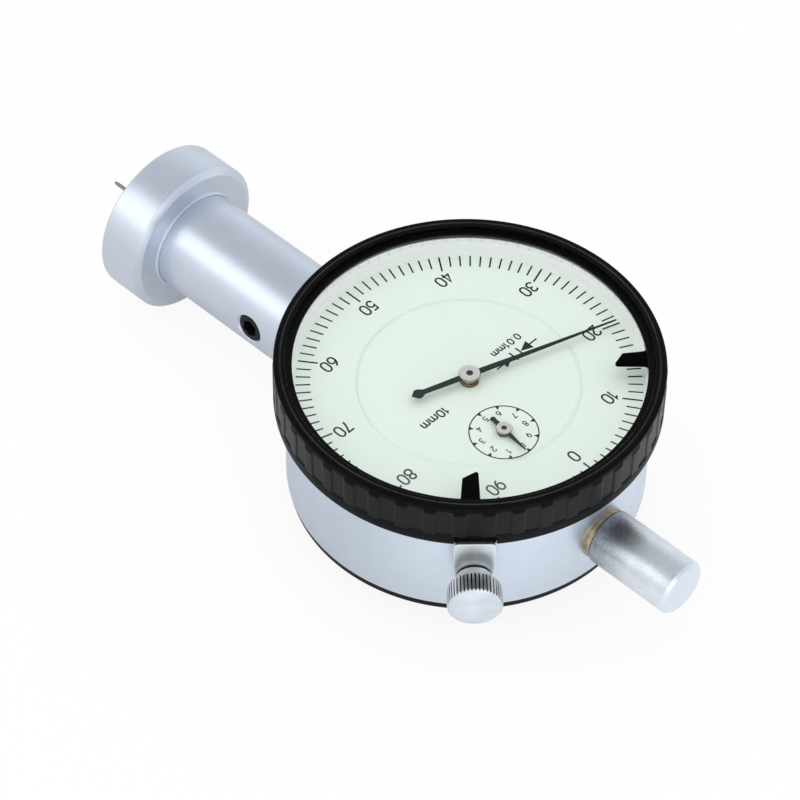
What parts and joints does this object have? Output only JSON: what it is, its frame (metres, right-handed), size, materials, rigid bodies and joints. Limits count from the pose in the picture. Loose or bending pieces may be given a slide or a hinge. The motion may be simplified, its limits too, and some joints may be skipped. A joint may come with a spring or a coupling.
{
  "type": "dial depth gauge",
  "caption": "Dial depth gauge with a fine needle, round measuring base, knurled bezel clamp, limit markers and a working rack and gear movement.",
  "frame": {"origin": "centre of the base's measuring face, on the spindle's axis", "axes": "+Y along the spindle from the measuring face to the dust cap, +Z out of the dial, +X towards three o'clock"},
  "size_m": [0.0568, 0.1176, 0.0293],
  "materials": {
    "satin_steel": "satin chromed steel, slightly blue, with bright turned edges",
    "black_gloss": "glossy black enamel",
    "blackened_steel": "blackened steel",
    "polished_steel": "polished",
    "chrome": "chromed, straight knurl, satin domed end",
    "hardened_steel": "ground",
    "spring_steel": "drawn wire",
    "brass": "turned brass",
    "jewel": "polished red bearing stone",
    "mint_dial": "matt pale mint green",
    "white_plastic": "smooth white",
    "clear_crystal": "clear and glossy",
    "black_paint": "satin black",
    "nickel": "turned and nickelled"
  },
  "bodies": {
    "case": {"case_body": "satin_steel", "back_cover": "black_gloss", "back_cover_screws": "blackened_steel", "stem": "hardened_steel", "stem_bush": "brass", "sleeve": "satin_steel", "base_disc": "satin_steel", "sleeve_set_screw": "blackened_steel", "top_bush": "brass", "dust_cap": "satin_steel", "bezel_seat_ring": "black_gloss", "clamp_bracket": "polished_steel", "bezel_wire": "spring_steel", "lower_plate": "brass", "lower_plate_screws": "hardened_steel", "upper_plate": "brass", "upper_plate_screws": "hardened_steel", "plate_pillars": "brass", "pinion_cock": "brass", "jewels": "jewel", "guide_rail": "hardened_steel", "spring_post": "hardened_steel", "return_spring": "spring_steel", "hairspring": "spring_steel", "hairspring_stud": "brass", "dial_centre": "mint_dial"},
    "spindle_unit": {"spindle": "hardened_steel", "needle_holder": "hardened_steel", "needle": "hardened_steel", "guide_pin": "hardened_steel"},
    "rack_gear_unit": {"rack_arbor": "hardened_steel", "rack_wheel": "brass"},
    "main_hand_unit": {"centre_arbor": "hardened_steel", "main_hand": "black_paint", "main_hand_boss": "brass", "main_hand_cap": "nickel"},
    "small_hand_unit": {"take_up_arbor": "hardened_steel", "take_up_wheel": "brass", "small_hand": "black_paint", "small_hand_boss": "brass", "small_hand_cap": "nickel"},
    "bezel_unit": {"bezel": "black_gloss", "dial_ring": "mint_dial", "dial_retainer": "brass", "dial_spacer": "white_plastic", "crystal": "clear_crystal"},
    "left_marker_unit": {"limit_marker_left": "black_paint"},
    "right_marker_unit": {"limit_marker_right": "black_paint"},
    "clamp_screw_unit": {"clamp_screw": "chrome"}
  },
  "joints": [
    {"name": "spindle_slide", "type": "slide", "parent": "case", "child": "spindle_unit", "axis": [0, 1, 0], "range_m": [0, 0.0102], "stiffness_N_per_m": 40, "springref_m": -0.015, "deforming": ["return_spring"]},
    {"name": "rack_gear_spin", "type": "hinge", "parent": "case", "child": "rack_gear_unit", "pos_m": [-0.00321, 0.05524, 0.00445], "axis": [0, 0, 1], "range_deg": [0, 367.5]},
    {"name": "main_hand_spin", "type": "hinge", "parent": "case", "child": "main_hand_unit", "pos_m": [0, 0.0657, 0.008], "axis": [0, 0, 1], "range_deg": [-3673.1, 0]},
    {"name": "small_hand_spin", "type": "hinge", "parent": "case", "child": "small_hand_unit", "pos_m": [0.00381, 0.07596, 0.008], "axis": [0, 0, 1], "range_deg": [0, 367.5]},
    {"name": "bezel_turn", "type": "hinge", "parent": "case", "child": "bezel_unit", "pos_m": [0, 0.0657, 0.0119], "axis": [0, 0, 1], "continuous": true},
    {"name": "left_marker_slide", "type": "hinge", "parent": "bezel_unit", "child": "left_marker_unit", "pos_m": [0, 0.0657, 0.0152], "axis": [0, 0, 1], "range_deg": [-40, 120]},
    {"name": "right_marker_slide", "type": "hinge", "parent": "bezel_unit", "child": "right_marker_unit", "pos_m": [0, 0.0657, 0.0152], "axis": [0, 0, 1], "range_deg": [-120, 40]},
    {"name": "clamp_screw_turn", "type": "hinge", "parent": "case", "child": "clamp_screw_unit", "pos_m": [0.02015, 0.08564, 0.0019], "axis": [0.7108, 0.7034, 0], "range_deg": [-360, 90]}
  ],
  "couplings": [
    {"joint": "rack_gear_spin", "follows": "spindle_slide", "rad_per_m": 628.32},
    {"joint": "main_hand_spin", "follows": "spindle_slide", "rad_per_m": -6283.2},
    {"joint": "small_hand_spin", "follows": "spindle_slide", "rad_per_m": 628.32}
  ]
}
